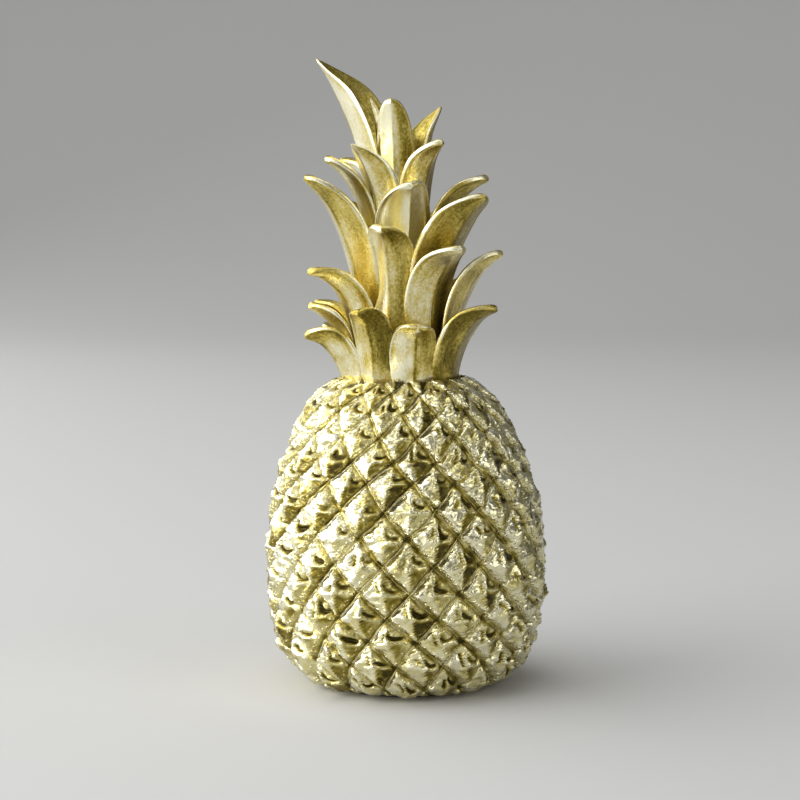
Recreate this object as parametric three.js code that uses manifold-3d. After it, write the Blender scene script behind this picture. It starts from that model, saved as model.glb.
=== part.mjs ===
// Gilded pineapple figurine: a cast fruit, and a crown of separately cast leaves bonded to a stem.
// Millimetres, +Z up. The origin is the middle of the underside, and the front faces -Y.
import * as THREE from "three";
import { LoftGeometry } from "three/addons/geometries/LoftGeometry.js";
import { ParametricGeometry } from "three/addons/geometries/ParametricGeometry.js";
import { mergeVertices } from "three/addons/utils/BufferGeometryUtils.js";
import Module from "manifold-3d";

const wasm = await Module();
wasm.setup();

// Main sizes
const fruitHeight = 78.3;
const fruitRadius = 36.4;
const crownHeight = 83;
const crownShift = -1.5;
const shoulderShift = -1;
const jointGap = 0.3;
const cutOverrun = 3;
const mergeDistance = 0.001;
const sliverSize = 0.06;
const roundingShare = 0.001;

// Foot of the figurine
const feltThickness = 1;
const feltRadius = 20.5;
const baseLevel = feltThickness + jointGap;

// Fruitlets: columns round the fruit, and where the mesh lines cross one side of a fruitlet
const columnCount = 17;
const stepShares = [0, 0.12, 0.5, 0.88, 1];
const stepCount = stepShares.length - 1;
const grooveDepth = 2;
const fruitletRise = 2.35;
const columnTurnDegrees = 0.8;
const columnBowDegrees = 12;
const bowMiddle = 37;
const bowReach = 40;

// Faces of one fruitlet: shares by which they fall from its peak to a corner, the width of the
// wall down to the groove, and the radius from which the relief is full
const sideFallShare = 0.8;
const upperFallShare = 0.75;
const lowerFallShare = 0.3;
const wallShare = 0.24;
const fullReliefShare = 0.8;

// Shoulder: it shifts with the crown, and its last fruitlets stand up round the crown's foot,
// highest in front
const shoulderRise = 1;
const recessClearance = 0.9;
const shiftPower = 3;
const risePower = 12;

// Rows of fruitlets from under the base to over the shoulder: height and radius to the peaks,
// as shares of the fruit's height and of its largest radius
const rowShares = [
  [-0.1, 0], [-0.03, 0.5], [0.045, 0.785], [0.128, 0.91], [0.21, 0.956], [0.287, 0.98],
  [0.37, 0.99], [0.453, 0.992], [0.543, 0.972], [0.626, 0.942], [0.709, 0.893], [0.773, 0.84],
  [0.849, 0.775], [0.919, 0.69], [0.973, 0.585], [1.008, 0.45], [1.02, 0],
];

// Crown stem and the socket in the fruit that holds its spigot
const spigotRadius = 7.7;
const spigotLength = 9;
const socketRadius = spigotRadius + jointGap;
const seatLevel = fruitHeight + jointGap;
const stemShares = [[0, 0.168], [0.12, 0.136], [0.27, 0.106], [0.45, 0.08], [0.62, 0.055], [0.68, 0.04]];
const stemTopShare = 0.7;
const stemSideCount = 16;
const latheSideCount = 24;

// Leaves: thickness, the depth that a foot stands in its seat, and how the outline swells
const leafThickness = 2.1;
const rimThickness = 1.2;
const seatDepth = 0.8;
const footSink = 1.2;
const baseFootShare = 0.86;
const upperFootShare = 0.8;
const leastTipShare = 0.06;
const bellyShare = 0.47;
const leafRowCount = 6;
const outerColumnCount = 4;
const innerColumnCount = 2;
const integrationStepCount = 12;
const foldPower = 1.2;
const tipPower = 2.2;
const tipFoldFadeShare = 0.5;
const tipFoldStartShare = 0.7;
const tipThinShare = 0.55;
const tipThinStartShare = 0.6;
const ROUND_POWER = 0.45;
const POINTED_POWER = 0.62;
const SHARP_POWER = 0.9;

// Each leaf: degrees round the stem from the front, foot height, length and width as shares of
// the crown's height, lean in degrees at the foot and at the tip, how late it curls, twist in
// degrees, depth of its fold as a share of its half width, and the form of its tip
const leaves = [
  leaf("leaf_base_front", 13, 0, 0.205, 0.146, 2, 75, 3.1, 7, 0.3, ROUND_POWER),
  leaf("leaf_base_front_left", -27, 0, 0.27, 0.128, 7, 75, 2.5, -16, 0.52, ROUND_POWER),
  leaf("leaf_base_right", 60, 0, 0.308, 0.172, 6, 79, 1.5, 10, 0.22, POINTED_POWER),
  leaf("leaf_base_left", -78, 0, 0.208, 0.19, 14, 81, 1.4, -17, 0.42, POINTED_POWER),
  leaf("leaf_base_right_back", 108, 0, 0.17, 0.14, 2, 60, 1.6, 0, 0.4, POINTED_POWER),
  leaf("leaf_base_back_right", 149, 0, 0.26, 0.15, 4, 76, 2, 0, 0.4, ROUND_POWER),
  leaf("leaf_base_back_left", -166, 0, 0.24, 0.15, 3, 76, 2.5, 0, 0.4, ROUND_POWER),
  leaf("leaf_base_left_back", -120, 0, 0.205, 0.15, 8, 75, 1.5, 0, 0.4, POINTED_POWER),
  leaf("leaf_second_front_right", 38, 0.12, 0.366, 0.168, 0, 77, 1.7, 1, 0.32, POINTED_POWER),
  leaf("leaf_second_front", -14, 0.125, 0.387, 0.166, 2, 66, 3.3, 8, 0.54, ROUND_POWER),
  leaf("leaf_second_left", -56, 0.1, 0.341, 0.146, 8, 87, 1.6, -10, 0.34, POINTED_POWER),
  leaf("leaf_second_right", 76, 0.07, 0.39, 0.182, 8, 73, 2.3, 12, 0.1, POINTED_POWER),
  leaf("leaf_lower_left", -79, 0.055, 0.235, 0.128, 13, 73, 1.6, -7, 0.28, POINTED_POWER),
  leaf("leaf_lower_left_back", -98, 0.07, 0.23, 0.11, 0, 95, 1.6, -2, 0.34, POINTED_POWER),
  leaf("leaf_second_right_back", 112, 0.09, 0.25, 0.14, 4, 52, 1.8, 0, 0.4, POINTED_POWER),
  leaf("leaf_second_back_right", 152, 0.11, 0.34, 0.15, 3, 70, 2, 0, 0.4, ROUND_POWER),
  leaf("leaf_second_back_left", -168, 0.12, 0.35, 0.15, 3, 70, 2.5, 0, 0.4, ROUND_POWER),
  leaf("leaf_second_left_back", -128, 0.1, 0.26, 0.14, 5, 67, 1.8, 0, 0.4, POINTED_POWER),
  leaf("leaf_middle_front", 10, 0.26, 0.37, 0.186, -1, 54, 3.3, -18, 0.42, ROUND_POWER),
  leaf("leaf_middle_left", -60, 0.195, 0.499, 0.178, 10, 59, 2.1, -4, 0.32, POINTED_POWER),
  leaf("leaf_middle_right", 48, 0.215, 0.433, 0.196, 13, 57, 1.4, 9, 0.36, POINTED_POWER),
  leaf("leaf_middle_right_back", 86, 0.335, 0.355, 0.154, 7, 71, 1.7, 7, 0.44, POINTED_POWER),
  leaf("leaf_middle_back_right", 130, 0.26, 0.315, 0.16, 6, 60, 1.8, 0, 0.4, POINTED_POWER),
  leaf("leaf_middle_back", 175, 0.28, 0.275, 0.16, 4, 50, 2.4, 0, 0.4, ROUND_POWER),
  leaf("leaf_middle_back_left", -135, 0.25, 0.335, 0.16, 8, 56, 1.8, 0, 0.4, POINTED_POWER),
  leaf("leaf_upper_front_left", -40, 0.4, 0.37, 0.135, 3, 56, 1.6, -2, 0.6, SHARP_POWER),
  leaf("leaf_upper_front_right", 42, 0.425, 0.342, 0.128, 1, 63, 2.6, -1, 0.52, POINTED_POWER),
  leaf("leaf_upper_left", -68, 0.38, 0.358, 0.108, 8, 67, 2.1, 6, 0.34, ROUND_POWER),
  leaf("leaf_upper_left_back", -109, 0.455, 0.285, 0.102, -7, 95, 1.8, 3, 0.46, POINTED_POWER),
  leaf("leaf_upper_back", 164, 0.42, 0.24, 0.12, 4, 45, 2, 0, 0.44, POINTED_POWER),
  leaf("leaf_upper_back_left", -150, 0.44, 0.34, 0.13, 6, 50, 2, 0, 0.44, POINTED_POWER),
  leaf("leaf_top_front", -13, 0.495, 0.375, 0.118, 2, 28, 3, -3, 0.42, ROUND_POWER),
  leaf("leaf_top_sliver", -62, 0.5, 0.37, 0.062, -4, 23, 2.3, -3, 0.5, SHARP_POWER),
  leaf("leaf_top_right", 115, 0.495, 0.357, 0.132, -1, 34, 2.1, -5, 0.66, SHARP_POWER),
  leaf("leaf_top_tall", -110, 0.485, 0.546, 0.18, 10, 39, 1.5, 5, 0.94, SHARP_POWER),
];

function leaf(name, around, footShare, lengthShare, widthShare, leanFoot, leanTip, curl, twist,
  foldShare, tipForm) {
  return {
    name, around, leanFoot, leanTip, curl, twist, foldShare, tipForm,
    foot: seatLevel + footShare * crownHeight,
    length: lengthShare * crownHeight,
    width: widthShare * crownHeight,
    footWidthShare: footShare > 0 ? upperFootShare : baseFootShare,
  };
}

// Solids for cuts and joins
function solidOf(geometry) {
  const merged = mergeVertices(new THREE.BufferGeometry()
    .setAttribute("position", geometry.getAttribute("position"))
    .setIndex(geometry.getIndex()), mergeDistance);
  const corners = merged.getIndex().array;
  const kept = [];
  for (let i = 0; i < corners.length; i += 3) {
    const [a, b, c] = corners.slice(i, i + 3);
    if (a !== b && b !== c && c !== a) kept.push(a, b, c);
  }
  return new wasm.Manifold(new wasm.Mesh({
    numProp: 3,
    vertProperties: new Float32Array(merged.getAttribute("position").array),
    triVerts: new Uint32Array(kept),
  }));
}

function largestPiece(solid) {
  return solid.decompose().reduce((most, piece) => (piece.volume() > most.volume() ? piece : most));
}

function geometryOf(solid) {
  const mesh = solid.getMesh();
  const geometry = new THREE.BufferGeometry();
  geometry.setAttribute("position", new THREE.BufferAttribute(mesh.vertProperties, 3));
  geometry.setIndex(new THREE.BufferAttribute(mesh.triVerts, 1));
  return geometry;
}

// A revolved piece about the Z axis from [radius, height] pairs that start and end on the axis
function revolved(profile, sides) {
  const geometry = new THREE.LatheGeometry(profile.map(([r, z]) => new THREE.Vector2(r, z)), sides);
  return geometry.rotateX(Math.PI / 2);
}

// Fruit: peak outline by row, with a smooth curve through the rows
const outline = new THREE.CatmullRomCurve3(rowShares.map(([heightShare, radiusShare]) =>
  new THREE.Vector3(radiusShare * fruitRadius, 0, heightShare * fruitHeight)), false, "centripetal");

function outlineAt(row) {
  const share = THREE.MathUtils.clamp(row / (rowShares.length - 1), 0, 1);
  const point = outline.getPoint(share);
  return [Math.max(0, point.x), point.z];
}

// Height of the relief over the grooves, at a place in one fruitlet: across and up run from
// -1 to 1 and meet the grooves where their sizes sum to 1
function fruitletRelief(across, up) {
  const inside = Math.max(0, 1 - Math.abs(across) - Math.abs(up));
  const fall = sideFallShare * Math.abs(across) + (up > 0 ? upperFallShare : lowerFallShare) * Math.abs(up);
  return fruitletRise * Math.min(1, inside / wallShare) * (1 - fall);
}

// Lines of the mesh crowd toward the grooves
function eased(place) {
  const whole = Math.floor(place + roundingShare);
  return whole + stepShares[Math.round((place - whole) * stepCount)];
}

function fruitSkin() {
  const rowCount = rowShares.length - 1;
  const point = (u, v, target) => {
    const slice = u * columnCount;
    const stack = v * rowCount;
    const left = eased(slice);
    const right = eased(slice + stack);
    const row = right - left;
    const column = (right + left) / 2;
    const partLeft = left - Math.floor(left + roundingShare);
    const partRight = right - Math.floor(right + roundingShare);
    const [radius, height] = outlineAt(row);
    const relief = fruitletRelief(partRight + partLeft - 1, partRight - partLeft);
    const bow = columnBowDegrees * ((height - bowMiddle) / bowReach) ** 2;
    const angle = (column * 2 * Math.PI) / columnCount + THREE.MathUtils.degToRad(columnTurnDegrees + bow);
    const full = Math.min(1, radius / (fullReliefShare * fruitRadius));
    const r = radius + full * (relief - grooveDepth);
    const heightShare = Math.max(0, height / fruitHeight);
    const shift = shoulderShift * heightShare ** shiftPower;
    const rise = radius > 0 ? shoulderRise * Math.cos(angle / 2) ** 2 * heightShare ** risePower : 0;
    target.set(shift + r * Math.sin(angle), -r * Math.cos(angle), height + rise);
  };
  return new ParametricGeometry(point, columnCount * stepCount, rowCount * stepCount);
}

// A plain block about the axis, for flat cuts
function block(radius, low, high) {
  return revolved([[0, low], [radius, low], [radius, high], [0, high]], latheSideCount);
}

// The skin is cut flat where the figurine stands; on top it has a recess round the crown's foot
// and a socket for its spigot
function fruitBody() {
  const cutTop = fruitHeight + shoulderRise + cutOverrun;
  const footRadius = stemShares[0][1] * crownHeight - seatDepth + leafThickness;
  const recess = block(footRadius + recessClearance, fruitHeight, cutTop);
  const socket = block(socketRadius, seatLevel - spigotLength - jointGap, cutTop);
  return solidOf(fruitSkin())
    .intersect(solidOf(block(fruitRadius + cutOverrun, baseLevel, cutTop)))
    .subtract(solidOf(recess.translate(crownShift, 0, 0)))
    .subtract(solidOf(socket.translate(crownShift, 0, 0)))
    .simplify(sliverSize);
}

// Crown: radius of the bare stem at a height
function stemRadius(height) {
  const share = (height - seatLevel) / crownHeight;
  const next = stemShares.findIndex(([place]) => place > share);
  if (next === 0) return stemShares[0][1] * crownHeight;
  if (next < 0) return stemShares[stemShares.length - 1][1] * crownHeight;
  const [low, lowRadius] = stemShares[next - 1];
  const [high, highRadius] = stemShares[next];
  return THREE.MathUtils.mapLinear(share, low, high, lowRadius, highRadius) * crownHeight;
}

function stemProfile(clearance = 0) {
  const low = seatLevel - spigotLength;
  const profile = [[0, low], [spigotRadius, low], [spigotRadius, seatLevel]];
  for (const [place, share] of stemShares) {
    profile.push([share * crownHeight + clearance, seatLevel + place * crownHeight]);
  }
  profile.push([0, seatLevel + stemTopShare * crownHeight + clearance]);
  return profile;
}

// Middle line of a leaf in the plane that holds the stem's axis: it leans out more toward its tip
function leafLine(spec) {
  const lean = (t) => THREE.MathUtils.degToRad(
    THREE.MathUtils.lerp(spec.leanFoot, spec.leanTip, Math.pow(t, spec.curl)));
  let out = stemRadius(spec.foot) + leafThickness / 2 - seatDepth;
  let up = spec.foot;
  let t = 0;
  const line = [{ t, out, up, lean: lean(0) }];
  for (let row = 1; row <= leafRowCount; row++) {
    const end = Math.sin((row / leafRowCount) * (Math.PI / 2));
    const step = (end - t) / integrationStepCount;
    for (let i = 0; i < integrationStepCount; i++) {
      const angle = lean(t + step / 2);
      out += Math.sin(angle) * step * spec.length;
      up += Math.cos(angle) * step * spec.length;
      t += step;
    }
    line.push({ t, out, up, lean: lean(t) });
  }
  return line;
}

function leafWidthAt(spec, t) {
  const swell = Math.sin((Math.min(t / bellyShare, 1) * Math.PI) / 2);
  const past = Math.max(0, (t - bellyShare) / (1 - bellyShare));
  const taper = Math.pow(Math.max(0, 1 - past ** tipPower), spec.tipForm);
  return spec.width * THREE.MathUtils.lerp(spec.footWidthShare, 1, swell) * Math.max(leastTipShare, taper);
}

// A leaf as a loft of cupped sections; grown by a clearance it is the space that the leaf needs
function leafSolid(spec, clearance = 0) {
  const around = THREE.MathUtils.degToRad(spec.around);
  const outward = new THREE.Vector3(Math.sin(around), -Math.cos(around), 0);
  const sideways = new THREE.Vector3(Math.cos(around), Math.sin(around), 0);
  const upward = new THREE.Vector3(0, 0, 1);
  const sections = leafLine(spec).map(({ t, out, up, lean }) => {
    const along = outward.clone().multiplyScalar(Math.sin(lean)).addScaledVector(upward, Math.cos(lean));
    const turn = THREE.MathUtils.degToRad(spec.twist) * t;
    const face = outward.clone().multiplyScalar(Math.cos(lean)).addScaledVector(upward, -Math.sin(lean));
    const side = sideways.clone().multiplyScalar(Math.cos(turn)).addScaledVector(face, Math.sin(turn));
    face.multiplyScalar(Math.cos(turn)).addScaledVector(sideways, -Math.sin(turn));
    const end = t === 0 ? -clearance - footSink : t > 1 - roundingShare ? clearance : 0;
    const centre = outward.clone().multiplyScalar(out);
    centre.addScaledVector(upward, up).addScaledVector(along, end);
    const half = leafWidthAt(spec, t) / 2;
    const fade = tipFoldFadeShare * THREE.MathUtils.smoothstep(t, tipFoldStartShare, 1);
    const fold = spec.foldShare * (1 - fade) * half;
    const thinShare = spec.tipForm === SHARP_POWER ? tipThinShare : 0;
    const thinning = 1 - thinShare * THREE.MathUtils.smoothstep(t, tipThinStartShare, 1);
    const ring = [];
    for (const [skin, countAcross] of [[1, outerColumnCount], [-1, innerColumnCount]]) {
      for (let i = 0; i <= countAcross; i++) {
        const across = skin * ((2 * i) / countAcross - 1);
        const sag = fold * Math.pow(Math.abs(across), foldPower);
        const thickness = thinning * THREE.MathUtils.lerp(leafThickness, rimThickness, across ** 2);
        ring.push(centre.clone()
          .addScaledVector(side, across * (half + clearance))
          .addScaledVector(face, skin * (thickness / 2 + clearance) - sag));
      }
    }
    return ring;
  });
  return solidOf(new LoftGeometry(sections, { capStart: true, capEnd: true }));
}

function boxesMeet(a, b) {
  const [one, two] = [a.boundingBox(), b.boundingBox()];
  return [0, 1, 2].every((k) => one.min[k] < two.max[k] && two.min[k] < one.max[k]);
}

// A leaf's foot is cut to sit on the stem and the fruit, and it gives way to the leaves before it
function crownLeaves() {
  const fruitTop = solidOf(block(fruitRadius, baseLevel, seatLevel));
  const stemSpace = solidOf(revolved(stemProfile(jointGap), stemSideCount));
  const spaces = leaves.map((spec) => leafSolid(spec, jointGap));
  return leaves.map((spec, i) => {
    let solid = leafSolid(spec).subtract(fruitTop).subtract(stemSpace);
    for (const space of spaces.slice(0, i)) {
      if (boxesMeet(solid, space)) solid = solid.subtract(space);
    }
    return [spec.name, largestPiece(solid.simplify(sliverSize))];
  });
}

// Finishes
const paleGold = { color: 0xd9bd76, metalness: 0.85, roughness: 0.3 };
const leafGold = { color: 0xcfae62, metalness: 0.85, roughness: 0.34 };
const feltFinish = { color: 0x2b2c29, metalness: 0, roughness: 0.95 };

function named(name, geometry, finish) {
  const flat = geometry.index ? geometry.toNonIndexed() : geometry;
  flat.computeVertexNormals();
  const mesh = new THREE.Mesh(flat, new THREE.MeshStandardMaterial(finish));
  mesh.name = name;
  return mesh;
}

const group = new THREE.Group();
const foot = new THREE.Group();
const crown = new THREE.Group();
group.add(foot, crown);
foot.add(named("felt_pad", block(feltRadius, 0, feltThickness), feltFinish));
foot.add(named("fruit_body", geometryOf(fruitBody()), paleGold));
crown.position.x = crownShift;
crown.add(named("crown_stem", revolved(stemProfile(), stemSideCount), leafGold));
for (const [name, solid] of crownLeaves()) crown.add(named(name, geometryOf(solid), leafGold));

export default group;
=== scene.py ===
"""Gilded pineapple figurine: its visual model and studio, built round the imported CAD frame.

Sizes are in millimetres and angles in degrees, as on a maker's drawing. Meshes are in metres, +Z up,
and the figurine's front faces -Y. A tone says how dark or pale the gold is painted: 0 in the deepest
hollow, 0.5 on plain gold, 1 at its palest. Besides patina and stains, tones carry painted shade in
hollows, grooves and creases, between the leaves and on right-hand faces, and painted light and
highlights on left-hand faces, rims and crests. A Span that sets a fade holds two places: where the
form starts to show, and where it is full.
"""
import logging
import math
import random
from dataclasses import dataclass, field
from enum import Enum
from typing import Callable, Sequence

import bmesh
import bpy
from mathutils import Euler, Matrix, Vector, noise


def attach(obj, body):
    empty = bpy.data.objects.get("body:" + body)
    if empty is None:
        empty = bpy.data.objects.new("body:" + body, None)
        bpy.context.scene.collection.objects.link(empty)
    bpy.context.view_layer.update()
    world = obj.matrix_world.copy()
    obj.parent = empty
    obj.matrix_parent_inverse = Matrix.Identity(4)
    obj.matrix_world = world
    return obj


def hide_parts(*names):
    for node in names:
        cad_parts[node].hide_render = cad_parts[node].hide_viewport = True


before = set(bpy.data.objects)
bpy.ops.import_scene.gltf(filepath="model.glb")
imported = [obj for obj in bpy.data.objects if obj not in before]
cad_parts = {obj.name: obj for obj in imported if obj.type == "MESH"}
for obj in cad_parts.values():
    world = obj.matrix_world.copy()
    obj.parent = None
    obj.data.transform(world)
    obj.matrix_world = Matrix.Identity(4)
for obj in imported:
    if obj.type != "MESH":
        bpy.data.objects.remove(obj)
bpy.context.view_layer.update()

MM = 0.001
MERGE_DISTANCE = 1e-4
CELL_SLACK = 1e-6
BODY = "root"
NOISE_SEED = 5
FINE_CRUMPLE_SHIFT = Vector((4, 0, 0))
GROOVE_SHADE_SHIFT = Vector((0, 5, 0))
PATINA_SHIFT = Vector((9, 0, 0))
log = logging.getLogger("pineapple")

Span = tuple[float, float]
Colour = tuple[float, float, float]
Socket = bpy.types.NodeSocket


class Slot(Enum):
    """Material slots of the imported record."""

    FRUIT = "fruit_gold"
    LEAF = "leaf_gold"
    FELT = "felt"


class Tip(Enum):
    """Exponent of a leaf's outline toward its tip."""

    ROUND = 0.45
    POINTED = 0.62
    SHARP = 0.9


class Wrinkle(Enum):
    """Kinds of fine relief in the lacquer."""

    SOFT = "FBM"
    CRUMPLED = "RIDGED_MULTIFRACTAL"


# Small shaping functions


def mix(low: float, high: float, share: float) -> float:
    """Value at a share of the way from low to high."""
    return low + (high - low) * share


def smooth(low: float, high: float, value: float) -> float:
    """Smooth step from 0 at low to 1 at high."""
    share = min(1.0, max(0.0, (value - low) / (high - low)))
    return share * share * (3 - 2 * share)


def bell(value: float, middle: float, reach: float) -> float:
    """Bell of height 1 about a middle."""
    return math.exp(-(((value - middle) / reach) ** 2))


def ridged(place: Vector, sharpness: float = 2.4) -> float:
    """Noise from 0 to 1 whose crests are sharp, as on crumpled foil."""
    return 1 - min(1.0, sharpness * abs(noise.noise(place)))


def curve_through(points: Sequence[Span], share: float) -> Span:
    """Centripetal Catmull-Rom curve through points of a plane.

    Args:
        points: the points, in order.
        share: place along the curve, from 0 to 1.

    Returns:
        The point of the curve at that place.
    """
    place = min(max(share, 0.0), 1.0) * (len(points) - 1)
    low = min(int(place), len(points) - 2)
    rest = place - low
    p1, p2 = Vector(points[low]), Vector(points[low + 1])
    p0 = Vector(points[low - 1]) if low > 0 else 2 * p1 - p2
    p3 = Vector(points[low + 2]) if low + 2 < len(points) else 2 * p2 - p1
    d0, d1, d2 = (math.sqrt((b - a).length) for a, b in ((p0, p1), (p1, p2), (p2, p3)))
    start = ((p1 - p0) / d0 - (p2 - p0) / (d0 + d1) + (p2 - p1) / d1) * d1
    end = ((p2 - p1) / d1 - (p3 - p1) / (d1 + d2) + (p3 - p2) / d2) * d1
    c2 = 3 * (p2 - p1) - 2 * start - end
    c3 = 2 * (p1 - p2) + start + end
    point = p1 + start * rest + c2 * rest**2 + c3 * rest**3
    return point.x, point.y


# Mesh work shared by the pieces


def open_edges(bm: bmesh.types.BMesh) -> list[bmesh.types.BMEdge]:
    """The edges round the mesh's holes."""
    return [edge for edge in bm.edges if edge.is_boundary]


def only_verts(geom: Sequence[object]) -> list[bmesh.types.BMVert]:
    """The vertices in an operator's result."""
    return [item for item in geom if isinstance(item, bmesh.types.BMVert)]


def formed_sheet(across: int, along: int, form: Callable[[float, float], tuple[Vector, float]]
                 ) -> bmesh.types.BMesh:
    """A grid moved point by point into its form, with its seam joined.

    Args:
        across: faces of the grid along u.
        along: faces of the grid along v.
        form: gives the place in mm and the tone of the finish for u and v from 0 to 1.

    Returns:
        The formed mesh, in mm, with a UV map and a vertex layer for the tone.
    """
    bm = bmesh.new()
    bm.loops.layers.uv.new("along")
    bmesh.ops.create_grid(bm, x_segments=across, y_segments=along, size=0.5, calc_uvs=True)
    tone = bm.verts.layers.float.new("tone")
    for vert in bm.verts:
        vert.co, vert[tone] = form(vert.co.x + 0.5, vert.co.y + 0.5)
    bmesh.ops.remove_doubles(bm, verts=bm.verts, dist=MERGE_DISTANCE)
    return bm


def smooth_object(bm: bmesh.types.BMesh, name: str, finish: bpy.types.Material) -> bpy.types.Object:
    """A mesh made an object of the scene, smooth and with its faces outward.

    Args:
        bm: the mesh in metres, which is freed.
        name: the object's name.
        finish: the material.

    Returns:
        The object.
    """
    bmesh.ops.recalc_face_normals(bm, faces=bm.faces)
    for face in bm.faces:
        face.smooth = True
    mesh = bpy.data.meshes.new(name)
    bm.to_mesh(mesh)
    bm.free()
    mesh.materials.append(finish)
    thing = bpy.data.objects.new(name, mesh)
    bpy.context.scene.collection.objects.link(thing)
    return thing


def finished_piece(bm: bmesh.types.BMesh, name: str, finish: bpy.types.Material,
                   nodes: Sequence[str]) -> bpy.types.Object:
    """A closed mesh made a piece of the figurine.

    Args:
        bm: the mesh in mm, which is freed.
        name: the piece's name.
        finish: the material.
        nodes: CAD nodes that the piece stands for.

    Returns:
        The object, riding on the figurine's body.
    """
    bmesh.ops.scale(bm, vec=Vector((MM, MM, MM)), verts=bm.verts)
    piece = smooth_object(bm, name, finish)
    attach(piece, BODY)
    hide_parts(*nodes)
    log.info("%s: %d faces", name, len(piece.data.polygons))
    return piece


# Finishes


class NodeSheet:
    """A node tree, with short calls to add and join its nodes."""

    def __init__(self, tree: bpy.types.NodeTree) -> None:
        """Takes up a node tree."""
        self.tree = tree

    def add(self, kind: str, values: dict[str | int, object] | None = None, **settings: object
            ) -> bpy.types.Node:
        """Adds a node.

        Args:
            kind: the node's type, without the ShaderNode prefix.
            values: numbers or colours for its sockets, or output sockets to join to them.
            settings: the node's own properties.

        Returns:
            The node.
        """
        node = self.tree.nodes.new("ShaderNode" + kind)
        for key, value in settings.items():
            setattr(node, key, value)
        for key, value in (values or {}).items():
            self.put(node.inputs[key], value)
        return node

    def put(self, socket: Socket, value: object) -> None:
        """Sets a socket to a value, or joins an output socket to it.

        Args:
            socket: the input socket.
            value: a number, a colour, a vector or an output socket.
        """
        if isinstance(value, Socket):
            self.tree.links.new(value, socket)
        else:
            socket.default_value = value

    def ramp(self, source: Socket, stops: Sequence[tuple[float, Colour]], ease: bool = False) -> Socket:
        """Colours for a value.

        Args:
            source: the value.
            stops: places from 0 to 1 and their colours.
            ease: whether the colours ease into one another.

        Returns:
            The colour socket.
        """
        node = self.add("ValToRGB", {0: source})
        if ease:
            node.color_ramp.interpolation = "EASE"
        elements = node.color_ramp.elements
        while len(elements) < len(stops):
            elements.new(0.5)
        for element, (place, colour) in zip(elements, stops):
            element.position = place
            element.color = (*colour, 1)
        return node.outputs[0]

    def math(self, operation: str, *values: object) -> Socket:
        """One operation on numbers.

        Args:
            operation: the operation, as the Math node names it.
            values: its numbers or output sockets, in order.

        Returns:
            The result's socket.
        """
        return self.add("Math", dict(enumerate(values)), operation=operation).outputs[0]

    def remap(self, source: Socket, old: Span, new: Span) -> Socket:
        """A value moved from one range to another, and kept within it.

        Args:
            source: the value.
            old: the range that it comes from.
            new: the range that it goes to.

        Returns:
            The moved value's socket.
        """
        return self.add("MapRange", dict(enumerate((source, *old, *new)))).outputs[0]

    def sway(self, tone: Socket, pattern: Socket, amount: float) -> Socket:
        """A tone moved up and down by a pattern.

        Args:
            tone: the tone.
            pattern: the pattern, from 0 to 1.
            amount: how far the pattern moves the tone in all.

        Returns:
            The moved tone's socket.
        """
        return self.math("MULTIPLY_ADD", self.math("SUBTRACT", pattern, 0.5), amount, tone)


class FinishSheet(NodeSheet):
    """A new material's node tree, with its shader at hand."""

    def __init__(self, name: str) -> None:
        """Starts a material.

        Args:
            name: the material's name.
        """
        self.material = bpy.data.materials.new(name)
        self.material.use_nodes = True
        super().__init__(self.material.node_tree)
        self.shader = self.tree.nodes["Principled BSDF"]

    def dress(self, values: dict[str, object]) -> None:
        """Sets the shader's sockets to numbers and colours, or joins output sockets to them."""
        for name, value in values.items():
            self.put(self.shader.inputs[name], value)

    def bump(self, height: Socket, strength: float, depth: float, below: Socket | None = None
             ) -> Socket:
        """Fine relief.

        Args:
            height: the relief, from 0 to 1.
            strength: how strongly it shows.
            depth: its depth in mm.
            below: the relief that it lies on.

        Returns:
            The normal's socket.
        """
        values = {"Strength": strength, "Distance": depth * MM, "Height": height}
        if below is not None:
            values["Normal"] = below
        return self.add("Bump", values).outputs[0]


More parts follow.
